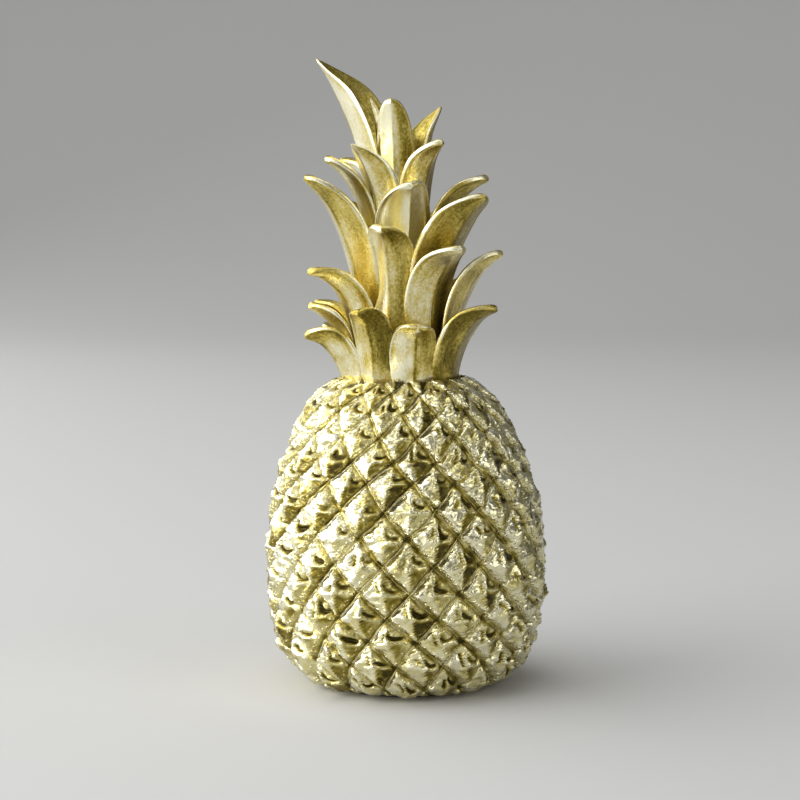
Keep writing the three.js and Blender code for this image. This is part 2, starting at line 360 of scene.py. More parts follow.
@dataclass(frozen=True)
class GoldLacquer:
    """Gold lacquer over cast resin: painted shade in the hollows, painted highlights on rims, seams and
    beads.

    Sizes and depths are in mm, scales in repeats per metre. The stops are tones. The seam's and the
    bead's lines are fades across a groove, in shares of a fruitlet's width.
    """

    name: str
    pale_gold: Colour
    gold: Colour
    ochre: Colour
    umber: Colour
    rough_low: float
    rough_high: float
    metallic: float
    wrinkle: Wrinkle
    wrinkle_size: float
    wrinkle_depth: float
    brush_depth: float
    coat: float
    cloud: float
    speckle: float
    columns: int = 0
    rows: int = 0
    umber_stop: float = 0.0
    ochre_stop: float = 0.24
    gold_stop: float = 0.5
    pale_gold_stop: float = 0.82
    rough_stops: Span = (0.15, 0.75)
    ior: float = 1.5
    coat_roughness: float = 0.15
    cloud_scale: float = 160.0
    speckle_scale: float = 1500.0
    streak_scale: float = 3.0
    streak_stretch: tuple[float, float, float] = (26.0, 2.2, 1.0)
    streak_tone: float = 0.4
    streak_relief: float = 0.1
    grain_depth: float = 0.02
    wrinkle_strength: float = 0.6
    streak_strength: float = 0.6
    raised_strength: float = 0.9
    grain_strength: float = 0.35
    seam_line: Span = (0.006, 0.032)
    seam_height: float = 0.22
    seam_tone: float = 0.32
    break_scale: float = 190.0
    breaks: Span = (0.44, 0.56)
    bead_line: Span = (0.02, 0.07)
    bead_height: float = 0.4
    bead_tone: float = 0.28
    bead_size: float = 0.8
    bead_place: float = 0.13
    bead_rim: Span = (0.12, 0.5)

    def near(self, sheet: FinishSheet, lines: Sequence[Socket], fade: Span) -> Socket:
        """How near a place is to either of two families of grooves.

        Args:
            sheet: the material's node tree.
            lines: for each family a count that is whole on its grooves.
            fade: distances from a groove where it is full and where it is gone.

        Returns:
            The socket of the nearness, from 0 to 1.
        """
        return sheet.math("MAXIMUM", *(sheet.remap(sheet.math("PINGPONG", line, 0.5), fade, (1.0, 0.0))
                                       for line in lines))

    def lattice_detail(self, sheet: FinishSheet, place: Socket, along: Socket) -> tuple[Socket, Socket]:
        """Thin seams in the grooves, and beads along the fruitlets' lower edges.

        Args:
            sheet: the material's node tree.
            place: the object's coordinates.
            along: the UV map, which counts the columns and rows.

        Returns:
            How much of a seam and of a bead each place has, from 0 to 1.
        """
        parts = sheet.add("SeparateXYZ", {0: along}).outputs
        left = sheet.math("MULTIPLY", parts[0], float(self.columns))
        right = sheet.math("MULTIPLY_ADD", parts[1], float(self.rows), left)
        broken = sheet.add("TexNoise", {"Vector": place, "Scale": self.break_scale, "Detail": 1.0}
                           ).outputs[0]
        seam = sheet.math("MULTIPLY", self.near(sheet, (left, right), self.seam_line),
                          sheet.remap(broken, self.breaks, (0.0, 1.0)))
        edges = (sheet.math("ADD", left, self.bead_place), sheet.math("ADD", right, -self.bead_place))
        cell = sheet.add("TexVoronoi", {"Vector": place, "Scale": 1 / (self.bead_size * MM)}
                         ).outputs["Distance"]
        bead = sheet.math("MULTIPLY", self.near(sheet, edges, self.bead_line),
                          sheet.remap(cell, self.bead_rim, (1.0, 0.0)))
        return seam, bead

    def material(self) -> bpy.types.Material:
        """The lacquer's material."""
        sheet = FinishSheet(self.name)
        place = sheet.add("TexCoord").outputs["Object"]
        along = sheet.add("UVMap", uv_map="along").outputs[0]
        tone = sheet.add("Attribute", attribute_name="tone").outputs["Fac"]

        cloud = sheet.add("TexNoise", {"Vector": place, "Scale": self.cloud_scale, "Detail": 4.0,
                                       "Roughness": 0.6}).outputs[0]
        speckle = sheet.add("TexNoise", {"Vector": place, "Scale": self.speckle_scale, "Detail": 2.0}
                            ).outputs[0]
        streak_place = sheet.add("Mapping", {"Vector": along, "Scale": self.streak_stretch}).outputs[0]
        streak = sheet.add("TexNoise", {"Vector": streak_place, "Scale": self.streak_scale,
                                        "Detail": 5.0, "Roughness": 0.65}).outputs[0]
        crests = {"Offset": 1.0} if self.wrinkle is Wrinkle.CRUMPLED else {}
        wrinkle = sheet.add("TexNoise", {"Vector": place, "Scale": 1 / (self.wrinkle_size * MM),
                                         "Detail": 3.0, "Roughness": 0.55, **crests},
                            noise_type=self.wrinkle.value).outputs[0]

        shade = sheet.sway(tone, cloud, self.cloud)
        shade = sheet.sway(shade, speckle, self.speckle)
        shade = sheet.sway(shade, streak, self.streak_tone * self.brush_depth)
        relief = sheet.bump(wrinkle, self.wrinkle_strength, self.wrinkle_depth)
        if self.columns:
            seam, bead = self.lattice_detail(sheet, place, along)
            # Painted highlights on the beads and on the seams in the grooves.
            shade = sheet.math("MULTIPLY_ADD", bead, self.bead_tone, shade)
            shade = sheet.math("MULTIPLY_ADD", seam, self.seam_tone, shade)
            raised = sheet.math("MULTIPLY_ADD", seam, self.seam_height,
                                sheet.math("MULTIPLY", bead, self.bead_height))
            relief = sheet.bump(raised, self.raised_strength, 1.0, relief)
        if self.brush_depth > 0:
            depth = self.brush_depth * self.streak_relief
            relief = sheet.bump(streak, self.streak_strength, depth, relief)
        stops = ((self.umber_stop, self.umber), (self.ochre_stop, self.ochre),
                 (self.gold_stop, self.gold), (self.pale_gold_stop, self.pale_gold))
        sheet.dress({
            "Base Color": sheet.ramp(shade, stops),
            "Roughness": sheet.remap(shade, self.rough_stops, (self.rough_high, self.rough_low)),
            "Metallic": self.metallic, "IOR": self.ior, "Coat Weight": self.coat,
            "Coat Roughness": self.coat_roughness,
            "Normal": sheet.bump(speckle, self.grain_strength, self.grain_depth, relief)})
        return sheet.material


@dataclass(frozen=True)
class Felt:
    """Dark self-adhesive felt."""

    name: str = "dark felt"
    light: Colour = (0.06, 0.075, 0.06)
    dark: Colour = (0.02, 0.03, 0.022)
    stops: Span = (0.3, 0.7)
    fibre_scale: float = 2600.0
    fibre_strength: float = 0.7
    fibre_depth: float = 0.15
    roughness: float = 0.95
    sheen: float = 0.3

    def material(self) -> bpy.types.Material:
        """The felt's material."""
        sheet = FinishSheet(self.name)
        place = sheet.add("TexCoord").outputs["Object"]
        fibre = sheet.add("TexNoise", {"Vector": place, "Scale": self.fibre_scale, "Detail": 4.0,
                                       "Distortion": 1.5}).outputs[0]
        sheet.dress({"Base Color": sheet.ramp(fibre, tuple(zip(self.stops, (self.dark, self.light)))),
                     "Roughness": self.roughness, "Sheen Weight": self.sheen,
                     "Normal": sheet.bump(fibre, self.fibre_strength, self.fibre_depth)})
        return sheet.material


FRUIT_GOLD = GoldLacquer(
    name="bright pale gold lacquer", pale_gold=(0.97, 0.93, 0.68), gold=(0.72, 0.645, 0.29),
    ochre=(0.29, 0.225, 0.03), umber=(0.06, 0.045, 0.006), rough_low=0.16, rough_high=0.36,
    metallic=0.93, wrinkle=Wrinkle.CRUMPLED, wrinkle_size=1.9, wrinkle_depth=0.15, brush_depth=0.0,
    coat=0.15, cloud=0.55, speckle=0.22, columns=17, rows=16)
LEAF_GOLD = GoldLacquer(
    name="satin gold lacquer", pale_gold=(0.98, 0.94, 0.68), gold=(0.7, 0.565, 0.15),
    ochre=(0.285, 0.22, 0.03), umber=(0.06, 0.047, 0.008), rough_low=0.2, rough_high=0.4,
    metallic=0.92, wrinkle=Wrinkle.SOFT, wrinkle_size=2.6, wrinkle_depth=0.12, brush_depth=1.2,
    coat=0.05, cloud=0.32, speckle=0.55)


# Fruit


@dataclass(frozen=True)
class FruitletForm:
    """How one hand-modelled fruitlet differs from the next."""

    left_hollow: float
    right_hollow: float
    beak: float
    swing: float
    lift: float
    tilt_across: float
    tilt_up: float
    knob: float
    crease: float
    bract: float
    flank: float
    right_place: float
    right_bend: float
    slit_turn: float
    slit_reach: float
    pucker: float
    pucker_turn: float
    # How strongly painted shade darkens this fruitlet's right faces.
    face_shade: float


class Detail(Enum):
    """Small forms of a fruitlet: relief in mm, and change of tone, where the form is full."""

    # The tones are painted shade in the slit, the nick and the crumple's dips, and painted highlights
    # on the raised forms and the crumple's crests.
    BEAK = (0.5, 0.2)
    KEEL = (0.14, 0.14)
    SLIT = (-1.0, -0.9)
    BRACT = (0.3, 0.1)
    RIGHT_LIP = (0.28, 0.25)
    LEFT_LIP = (0.25, 0.2)
    CORNER = (0.45, 0.2)
    KNOB = (0.35, 0.12)
    BEADS = (0.35, 0.14)
    NICK = (-0.3, -0.35)
    PUCKER = (0.2, 0.1)
    CRUMPLE = (1.0, 0.3)

    def __init__(self, relief: float, tone: float) -> None:
        """Takes up the form's relief and its change of tone."""
        self.relief = relief
        self.tone = tone


@dataclass(frozen=True)
class Spot:
    """An oval spot on a fruitlet."""

    across: float
    up: float
    wide: float
    tall: float

    def share(self, x: float, y: float) -> float:
        """How much of the spot a place has, 1 in its middle."""
        return math.exp(-((x - self.across) / self.wide) ** 2 - ((y - self.up) / self.tall) ** 2)


@dataclass(frozen=True)
class Ridge:
    """An upright ridge on a fruitlet, faded at its top and at its foot."""

    across: float
    lean: float
    wide: float
    top: Span
    foot: Span

    def share(self, x: float, y: float) -> float:
        """How much of the ridge a place has, 1 along its crest."""
        crest = bell(x + self.lean * y, self.across, self.wide)
        return crest * smooth(*self.top, y) * smooth(*self.foot, y)


@dataclass(frozen=True)
class FruitletSkin:
    """Relief and tone of one fruitlet.

    Places on it, and widths and reaches there, are in shares of the way from its middle to a corner.
    Walls and grooves are fades in shares of its width. The sizes of noises are in mm.
    """

    rise: float = 2.35
    side_fall: float = 0.8
    upper_fall: float = 0.75
    lower_fall: float = 0.3
    keel_round: float = 0.02
    waist_round: float = 0.06
    waist: Span = (0.1, -0.1)
    swing_level: float = 0.4
    wander: float = 0.12
    wander_size: float = 4.0
    wander_edge: Span = (0.0, 0.35)
    tilt_edge: Span = (0.0, 0.5)
    ragged: float = 0.045
    ragged_size: float = 1.9
    left_wall: Span = (0.025, 0.1)
    right_wall: Span = (0.045, 0.13)
    floor_relief: float = 0.16
    floor_size: float = 1.1
    pit: float = 0.3
    pit_reach: float = 0.1
    lump: float = 0.5
    lump_size: float = 2.9
    crumple: float = 0.34
    crumple_size: float = 2.6
    fine_crumple: float = 0.24
    fine_crumple_size: float = 1.3
    crumple_level: float = 0.3

    slit_width: float = 0.065
    lip_width: float = 0.06
    hook_up: float = 0.48
    hook_squash: float = 0.9
    hook_top: Span = (0.62, 0.4)
    hook_left: Span = (0.03, 0.1)
    hook_right: Span = (0.66, 0.42)
    right_lip_place: float = 0.13
    stroke_place: Span = (-0.16, 0.28)
    stroke_end: float = 0.6
    left_lip_place: float = -0.14
    right_bract_reach: float = 0.2
    left_bract_place: Span = (-0.4, 0.3)
    left_bract_reach: float = 0.16
    left_bract_share: float = 0.7
    beak: Ridge = Ridge(0.01, 0.05, 0.07, (0.75, 0.35), (-0.15, 0.08))
    keel: Ridge = Ridge(0, 0, 0.05, (0.0, -0.15), (-0.95, -0.6))
    corner: Spot = Spot(-0.68, -0.02, 0.15, 0.15)
    knob: Spot = Spot(0.68, 0.05, 0.12, 0.11)
    nick: Spot = Spot(0.05, -0.16, 0.06, 0.06)
    bead_level: float = 0.4
    bead_sway: float = 1.3
    bead_size: float = 0.9
    bead_line: float = 0.2
    bead_reach: float = 0.09
    bead_slope: float = 0.5
    bead_side: Span = (0.15, -0.2)
    pucker_up: float = 0.1
    pucker_folds: int = 7
    pucker_place: float = 0.34
    pucker_reach: float = 0.16

    plain_tone: float = 0.58
    groove_painted_shade: float = 0.55
    left_groove: Span = (0.08, 0.01)
    left_groove_share: float = 0.5
    right_groove: Span = (0.11, 0.02)
    groove_shade_level: float = 0.55
    groove_shade_sway: float = 0.9
    groove_shade_lift: float = 0.2
    groove_shade_size: float = 3.1
    patina_tone: float = 0.4
    patina_size: float = 5.0
    patina_edge: Span = (0.1, 0.4)
    # Painted shade on the fruitlets' right faces and painted light on their left ones.
    right_side: Span = (-0.02, 0.06)
    right_shade: float = 0.16
    lower_right_shade: float = 0.32
    left_face_painted_light: float = 0.08

    def hollows(self, x: float, y: float, form: FruitletForm) -> dict[Detail, float]:
        """The hooked slit right of the beak, the stroke left of it, and their lips and bracts.

        Args:
            x: place across the fruitlet.
            y: place up the fruitlet.
            form: the fruitlet's own form.

        Returns:
            How much of each of these forms the place has.
        """
        reach = math.hypot((x - form.right_place) * self.hook_squash, y - self.hook_up)
        under = smooth(*self.hook_top, y) * smooth(*self.hook_left, x) * smooth(*self.hook_right, x)
        right_slit = form.right_hollow * under * bell(reach, form.right_bend, self.slit_width)
        right_lip = bell(reach, form.right_bend + self.right_lip_place, self.lip_width)

        turn_cos, turn_sin = math.cos(form.slit_turn), math.sin(form.slit_turn)
        from_x, from_y = x - self.stroke_place[0], y - self.stroke_place[1]
        off = from_x * turn_cos + from_y * turn_sin
        along = from_x * turn_sin - from_y * turn_cos
        ends = smooth(form.slit_reach, self.stroke_end * form.slit_reach, abs(along))
        stroke = form.left_hollow * ends

        left_spread = math.hypot(x - self.left_bract_place[0], y - self.left_bract_place[1])
        left_bract = self.left_bract_share * bell(left_spread, 0, self.left_bract_reach)
        return {Detail.SLIT: right_slit + stroke * bell(off, 0, self.slit_width),
                Detail.RIGHT_LIP: form.crease * under * right_lip,
                Detail.LEFT_LIP: stroke * bell(off, self.left_lip_place, self.lip_width),
                Detail.BRACT: form.bract * (bell(reach, 0, self.right_bract_reach) + left_bract)}

    def crests(self, x: float, y: float, inside: float, form: FruitletForm, place: Vector
               ) -> dict[Detail, float]:
        """The beak, the keel, the corner knobs, the nick, the beads and the pucker.

        Args:
            x: place across the fruitlet.
            y: place up the fruitlet.
            inside: how far inside the fruitlet's edges the place is, 1 in the middle.
            form: the fruitlet's own form.
            place: a point near the surface, in mm, for the irregular part.

        Returns:
            How much of each of these forms the place has.
        """
        beading = max(0.0, self.bead_level + self.bead_sway * noise.noise(place / self.bead_size))
        lower_edge = smooth(*self.bead_side, y + self.bead_slope * x)
        spread = math.hypot(x, y - self.pucker_up)
        folds = math.cos(self.pucker_folds * math.atan2(y - self.pucker_up, x) + form.pucker_turn)
        return {Detail.BEAK: form.beak * self.beak.share(x, y),
                Detail.KEEL: self.keel.share(x, y),
                Detail.CORNER: form.flank * self.corner.share(x, y),
                Detail.KNOB: form.knob * self.knob.share(x, y),
                Detail.NICK: form.crease * self.nick.share(x, y),
                Detail.BEADS: beading * bell(inside, self.bead_line, self.bead_reach) * lower_edge,
                Detail.PUCKER: form.pucker * folds * bell(spread, self.pucker_place, self.pucker_reach)}

    def crumpled(self, place: Vector) -> float:
        """Crumple of the cast skin.

        Args:
            place: a point near the surface, in mm.

        Returns:
            The crumple, about 0.
        """
        coarse = ridged(place / self.crumple_size) * self.crumple
        fine = ridged(place / self.fine_crumple_size + FINE_CRUMPLE_SHIFT) * self.fine_crumple
        return coarse + fine - self.crumple_level

    def stain(self, near: Span, inside: float, place: Vector) -> float:
        """How much painted shade in the grooves, made patchy by noise, and patina on the faces darken
        the tone.

        Args:
            near: distances from the groove on the left and from the one on the right.
            inside: how far inside the fruitlet's edges the place is, 1 in the middle.
            place: a point near the surface, in mm, for the irregular part.

        Returns:
            The loss of tone.
        """
        groove = min(1.0, self.left_groove_share * smooth(*self.left_groove, near[0])
                     + smooth(*self.right_groove, near[1]))
        groove_shade_patches = max(0.0, self.groove_shade_lift + noise.noise(place / self.groove_shade_size + GROOVE_SHADE_SHIFT))
        patina = (max(0.0, noise.noise(place / self.patina_size + PATINA_SHIFT))
                  * smooth(*self.patina_edge, inside))
        return (self.groove_painted_shade * groove * (self.groove_shade_level + self.groove_shade_sway * groove_shade_patches)
                + self.patina_tone * patina)

    def relief(self, across: float, up: float, form: FruitletForm, place: Vector
               ) -> tuple[float, float]:
        """Height over the grooves and tone of the finish at a place in one fruitlet.

        Args:
            across: -1 to 1 from the left corner to the right one.
            up: -1 to 1 from the bottom corner to the top one.
            form: the fruitlet's own form.
            place: a point near the surface, in mm, for the irregular part.

        Returns:
            The relief in mm, and the tone.
        """
        inside = max(0.0, 1 - abs(across) - abs(up))
        to_left, to_right = (1 - abs(across - up)) / 2, (1 - abs(across + up)) / 2
        ragged = self.ragged * noise.noise(place / self.ragged_size)
        near = (to_left + ragged, to_right + ragged)
        wall = smooth(*self.left_wall, near[0]) * smooth(*self.right_wall, near[1])
        wander = (noise.noise_vector(place / self.wander_size) * self.wander
                  * smooth(*self.wander_edge, inside))
        x = across - form.swing * inside * (self.swing_level + up) + wander.x
        y = up - form.lift * inside + wander.y

        low = smooth(*self.waist, y)
        fall = mix(self.upper_fall, self.lower_fall, low)
        body = self.rise * max(0.0, 1 - self.side_fall * math.hypot(x, self.keel_round)
                               - fall * (math.hypot(y, self.waist_round) - self.waist_round))
        tilt = (form.tilt_across * x + form.tilt_up * y) * smooth(*self.tilt_edge, inside)
        lump = self.lump * noise.noise(place / self.lump_size)
        details = {**self.hollows(x, y, form), **self.crests(x, y, inside, form, place),
                   Detail.CRUMPLE: self.crumpled(place)}
        height = body + tilt + lump + sum(share * detail.relief for detail, share in details.items())

        # The pit where the grooves cross is sunk and gets painted shade.
        pit = self.pit * bell(to_left, 0, self.pit_reach) * bell(to_right, 0, self.pit_reach)
        floor = self.floor_relief * noise.noise(place / self.floor_size) - pit
        # Painted shade on each fruitlet's right faces, most on the lower ones, and painted light on its
        # left faces.
        right_face = smooth(*self.right_side, x)
        shade = ((self.lower_right_shade * low + self.right_shade) * right_face * form.face_shade
                 - self.left_face_painted_light * (1 - right_face))
        tone = (self.plain_tone - self.stain(near, inside, place) - pit - shade
                + sum(share * detail.tone for detail, share in details.items()))
        return wall * height + (1 - wall) * floor, tone


@dataclass
class Fruit:
    """The cast fruit: columns of diamond fruitlets in alternate rows.

    The rows' shares are of the fruit's height and radius. The drifts bend the whole lattice a little.
    """

    height: float = 78.3
    radius: float = 36.4
    base_level: float = 1.3
    crown_shift: float = -1.5
    shoulder_shift: float = -1.0
    shoulder_rise: float = 1.0
    columns: int = 17
    steps: int = 20
    step_crowding: float = 0.22
    groove_depth: float = 2.0
    full_relief_share: float = 0.8
    # Painted light on the fruit's side facing -X.
    left_side_painted_light: float = 0.2
    column_turn: float = 0.8
    column_bow: float = 12.0
    bow_middle: float = 37.0
    bow_reach: float = 40.0
    drift: float = 0.55
    drift_size: float = 8.0
    fine_drift: float = 0.2
    fine_drift_size: float = 3.0
    seat_radius: float = 16.14
    seat_snap: float = 0.4
    opening_radius: float = 12.0
    socket_radius: float = 8.0
    socket_depth: float = 9.0
    socket_sides: int = 64
    seed: int = 7
    row_shares: tuple[Span, ...] = (
        (-0.1, 0), (-0.03, 0.5), (0.045, 0.785), (0.128, 0.91), (0.21, 0.956), (0.287, 0.98),
        (0.37, 0.99), (0.453, 0.992), (0.543, 0.972), (0.626, 0.942), (0.709, 0.893), (0.773, 0.84),
        (0.849, 0.775), (0.919, 0.69), (0.973, 0.585), (1.008, 0.45), (1.02, 0))
    skin: FruitletSkin = FruitletSkin()
    rows: int = field(init=False)
    outline: list[Span] = field(init=False)
    forms: dict[tuple[int, int], FruitletForm] = field(init=False)

    def __post_init__(self) -> None:
        """Sets the outline and draws the form of each fruitlet."""
        draw = random.Random(self.seed)
        self.rows = len(self.row_shares) - 1
        self.outline = [(radius * self.radius, height * self.height)
                        for height, radius in self.row_shares]
        self.forms = {}
        for row in range(-1, self.rows + 2):
            for column in range(self.columns):
                self.forms[column, row] = FruitletForm(
                    left_hollow=draw.uniform(0.25, 1.0), right_hollow=draw.uniform(0.6, 1.3),
                    beak=draw.uniform(0.5, 1.3), swing=draw.uniform(-0.3, 0.3),
                    lift=draw.uniform(-0.16, 0.12), tilt_across=draw.uniform(-0.6, 0.6),
                    tilt_up=draw.uniform(-0.5, 0.5), knob=draw.uniform(0.3, 1.2),
                    crease=draw.uniform(0.3, 1.1), bract=draw.uniform(0.2, 1.2),
                    flank=draw.uniform(0.3, 1.2), right_place=draw.uniform(0.34, 0.48),
                    right_bend=draw.uniform(0.24, 0.4), slit_turn=draw.uniform(-0.45, 0.6),
                    slit_reach=draw.uniform(0.2, 0.36), pucker=draw.uniform(0.0, 1.0),
                    pucker_turn=draw.uniform(0.0, 6.3), face_shade=draw.uniform(0.1, 1.2))

    def place(self, u: float, v: float) -> tuple[Vector, float]:
        """A point of the skin. The mesh lines run along the grooves and crowd toward them.

        Args:
            u: share of the way round.
            v: share of the way along a groove, from the bottom to the top.

        Returns:
            The point in mm, and the tone.
        """
        left, right = self.crowded(u * self.columns), self.crowded(u * self.columns + v * self.rows)
        row, column = right - left, (right + left) / 2
        cell_left, cell_right = math.floor(left + CELL_SLACK), math.floor(right + CELL_SLACK)
        part_left, part_right = max(0.0, left - cell_left), max(0.0, right - cell_right)
        radius, height = curve_through(self.outline, row / self.rows)
        bow = self.column_bow * ((height - self.bow_middle) / self.bow_reach) ** 2
        angle = math.radians(360 * column / self.columns + self.column_turn + bow)
        around = Vector((math.sin(angle), -math.cos(angle), 0))
        base = around * max(radius, 0) + Vector((0, 0, height))
        base += (self.drift * noise.noise_vector(base / self.drift_size)
                 + self.fine_drift * noise.noise_vector(base / self.fine_drift_size))
        form = self.forms[cell_left % self.columns, max(-1, min(cell_right - cell_left, self.rows + 1))]
        relief, tone = self.skin.relief(part_right + part_left - 1, part_right - part_left, form, base)
        full = min(1.0, max(0.0, radius) / (self.full_relief_share * self.radius))
        out = (relief - self.groove_depth) * full
        share = max(0.0, height / self.height)
        rise = self.shoulder_rise * math.cos(angle / 2) ** 2 * share**12 if radius > 0 else 0.0
        point = base + around * out + Vector((self.shoulder_shift * share**3, 0, rise))
        # Painted light: the tone is paler where the fruit faces -X.
        return self.seated(point), tone + self.left_side_painted_light * max(0.0, -around.x)

    def crowded(self, place: float) -> float:
        """A place among the mesh lines, moved toward the groove next to it."""
        return place - self.step_crowding * math.sin(2 * math.pi * place) / (2 * math.pi)

    def seated(self, point: Vector) -> Vector:
        """A point of the skin, pressed flat where the crown's feet stand.

        Args:
            point: the point in mm.

        Returns:
            The point on the seat or on its rim, or the same point away from them.
        """
        axis = Vector((self.crown_shift, 0, 0))
        flat = Vector((point.x, point.y, 0)) - axis
        if point.z < self.height or flat.length > self.seat_radius + self.seat_snap:
            return point
        level = self.height if flat.length < self.seat_radius else point.z
        if flat.length > self.seat_radius - self.seat_snap:
            flat *= self.seat_radius / flat.length
        return axis + flat + Vector((0, 0, level))

    def build(self, finish: bpy.types.Material) -> bpy.types.Object:
        """The fruit, cut flat under it, with the crown's seat and socket on top.

        Args:
            finish: the lacquer.

        Returns:
            The fruit's object.
        """
        bm = formed_sheet(self.columns * self.steps, self.rows * self.steps, self.place)
        bmesh.ops.bisect_plane(bm, geom=[*bm.verts, *bm.edges, *bm.faces], dist=MERGE_DISTANCE,
                               plane_co=(0, 0, self.base_level), plane_no=(0, 0, -1), clear_outer=True)
        bmesh.ops.holes_fill(bm, edges=open_edges(bm), sides=0)
        self.sink_socket(bm)
        return finished_piece(bm, "fruit_skin", finish, ["fruit_body"])

    def sink_socket(self, bm: bmesh.types.BMesh) -> None:
        """Opens the seat's middle and sinks the socket for the crown's stem.

        Args:
            bm: the fruit's mesh in mm.
        """
        axis = Vector((self.crown_shift, 0, self.height))
        middle = [face for face in bm.faces
                  if all((vert.co - axis).length < self.opening_radius for vert in face.verts)]
        bmesh.ops.delete(bm, geom=middle, context="FACES")
        rim = open_edges(bm)
        mouth = bmesh.ops.create_circle(bm, cap_ends=False, segments=self.socket_sides,
                                        radius=self.socket_radius,
                                        matrix=Matrix.Translation(axis))["verts"]
        mouth_edges = list(dict.fromkeys(edge for vert in mouth for edge in vert.link_edges))
        bmesh.ops.bridge_loops(bm, edges=rim + mouth_edges)
        wall = bmesh.ops.extrude_edge_only(bm, edges=mouth_edges)["geom"]
        bmesh.ops.translate(bm, verts=only_verts(wall), vec=(0, 0, -self.socket_depth))
        bmesh.ops.holes_fill(bm, edges=open_edges(bm), sides=0)


# Crown


@dataclass(frozen=True)
class Leaf:
    """One leaf: where it stands, how it bends, and its shade, which is painted light above 0 and
    painted shade below 0.

    Around is its turn from the front, to the right. Shares are of the crown's height. Leans are from
    upright, curl sets how late it bends, and fold is the slope from its middle line to its rims.
    """

    name: str
    around: float
    foot_share: float
    length_share: float
    width_share: float
    lean_foot: float
    lean_tip: float
    curl: float
    twist: float
    fold: float
    tip: Tip
    shade: float = 0.0


R, P, S = Tip.ROUND, Tip.POINTED, Tip.SHARP
# The last number, where given, is the leaf's shade: painted light above 0, painted shade below 0.
LEAVES: tuple[Leaf, ...] = (
    Leaf("leaf_base_front", 13, 0, 0.205, 0.146, 2, 75, 3.1, 7, 0.3, R, 0.22),
    Leaf("leaf_base_front_left", -27, 0, 0.27, 0.128, 7, 75, 2.5, -16, 0.52, R, -0.08),
    Leaf("leaf_base_right", 60, 0, 0.308, 0.172, 6, 79, 1.5, 10, 0.22, P, -0.06),
    Leaf("leaf_base_left", -78, 0, 0.208, 0.19, 14, 81, 1.4, -17, 0.42, P, -0.14),
    Leaf("leaf_base_right_back", 108, 0, 0.17, 0.14, 2, 60, 1.6, 0, 0.4, P),
    Leaf("leaf_base_back_right", 149, 0, 0.26, 0.15, 4, 76, 2, 0, 0.4, R),
    Leaf("leaf_base_back_left", -166, 0, 0.24, 0.15, 3, 76, 2.5, 0, 0.4, R),
    Leaf("leaf_base_left_back", -120, 0, 0.205, 0.15, 8, 75, 1.5, 0, 0.4, P),
    Leaf("leaf_second_front_right", 38, 0.12, 0.366, 0.168, 0, 77, 1.7, 1, 0.32, P, 0.28),
    Leaf("leaf_second_front", -14, 0.125, 0.387, 0.166, 2, 66, 3.3, 8, 0.54, R, 0.18),
    Leaf("leaf_second_left", -56, 0.1, 0.341, 0.146, 8, 87, 1.6, -10, 0.34, P),
    Leaf("leaf_second_right", 76, 0.07, 0.39, 0.182, 8, 73, 2.3, 12, 0.1, P, 0.2),
    Leaf("leaf_lower_left", -79, 0.055, 0.235, 0.128, 13, 73, 1.6, -7, 0.28, P),
    Leaf("leaf_lower_left_back", -98, 0.07, 0.23, 0.11, 0, 95, 1.6, -2, 0.34, P),
    Leaf("leaf_second_right_back", 112, 0.09, 0.25, 0.14, 4, 52, 1.8, 0, 0.4, P),
    Leaf("leaf_second_back_right", 152, 0.11, 0.34, 0.15, 3, 70, 2, 0, 0.4, R),
    Leaf("leaf_second_back_left", -168, 0.12, 0.35, 0.15, 3, 70, 2.5, 0, 0.4, R),
    Leaf("leaf_second_left_back", -128, 0.1, 0.26, 0.14, 5, 67, 1.8, 0, 0.4, P),
    Leaf("leaf_middle_front", 10, 0.26, 0.37, 0.186, -1, 54, 3.3, -18, 0.42, R, 0.66),
    Leaf("leaf_middle_left", -60, 0.195, 0.499, 0.178, 10, 59, 2.1, -4, 0.32, P, -0.16),
    Leaf("leaf_middle_right", 48, 0.215, 0.433, 0.196, 13, 57, 1.4, 9, 0.36, P, 0.04),
    Leaf("leaf_middle_right_back", 86, 0.335, 0.355, 0.154, 7, 71, 1.7, 7, 0.44, P),
    Leaf("leaf_middle_back_right", 130, 0.26, 0.315, 0.16, 6, 60, 1.8, 0, 0.4, P),
    Leaf("leaf_middle_back", 175, 0.28, 0.275, 0.16, 4, 50, 2.4, 0, 0.4, R),
    Leaf("leaf_middle_back_left", -135, 0.25, 0.335, 0.16, 8, 56, 1.8, 0, 0.4, P),
    Leaf("leaf_upper_front_left", -40, 0.4, 0.37, 0.135, 3, 56, 1.6, -2, 0.6, S, 0.42),
    Leaf("leaf_upper_front_right", 42, 0.425, 0.342, 0.128, 1, 63, 2.6, -1, 0.52, P, 0.22),
    Leaf("leaf_upper_left", -68, 0.38, 0.358, 0.108, 8, 67, 2.1, 6, 0.34, R),
    Leaf("leaf_upper_left_back", -109, 0.455, 0.285, 0.102, -7, 95, 1.8, 3, 0.46, P),
    Leaf("leaf_upper_back", 164, 0.42, 0.24, 0.12, 4, 45, 2, 0, 0.44, P),
    Leaf("leaf_upper_back_left", -150, 0.44, 0.34, 0.13, 6, 50, 2, 0, 0.44, P),
    Leaf("leaf_top_front", -13, 0.495, 0.375, 0.118, 2, 28, 3, -3, 0.42, R, 0.25),
    Leaf("leaf_top_sliver", -62, 0.5, 0.37, 0.062, -4, 23, 2.3, -3, 0.5, S),
    Leaf("leaf_top_right", 115, 0.495, 0.357, 0.132, -1, 34, 2.1, -5, 0.66, S),
    Leaf("leaf_top_tall", -110, 0.485, 0.546, 0.18, 10, 39, 1.5, 5, 0.94, S, -0.04),
)


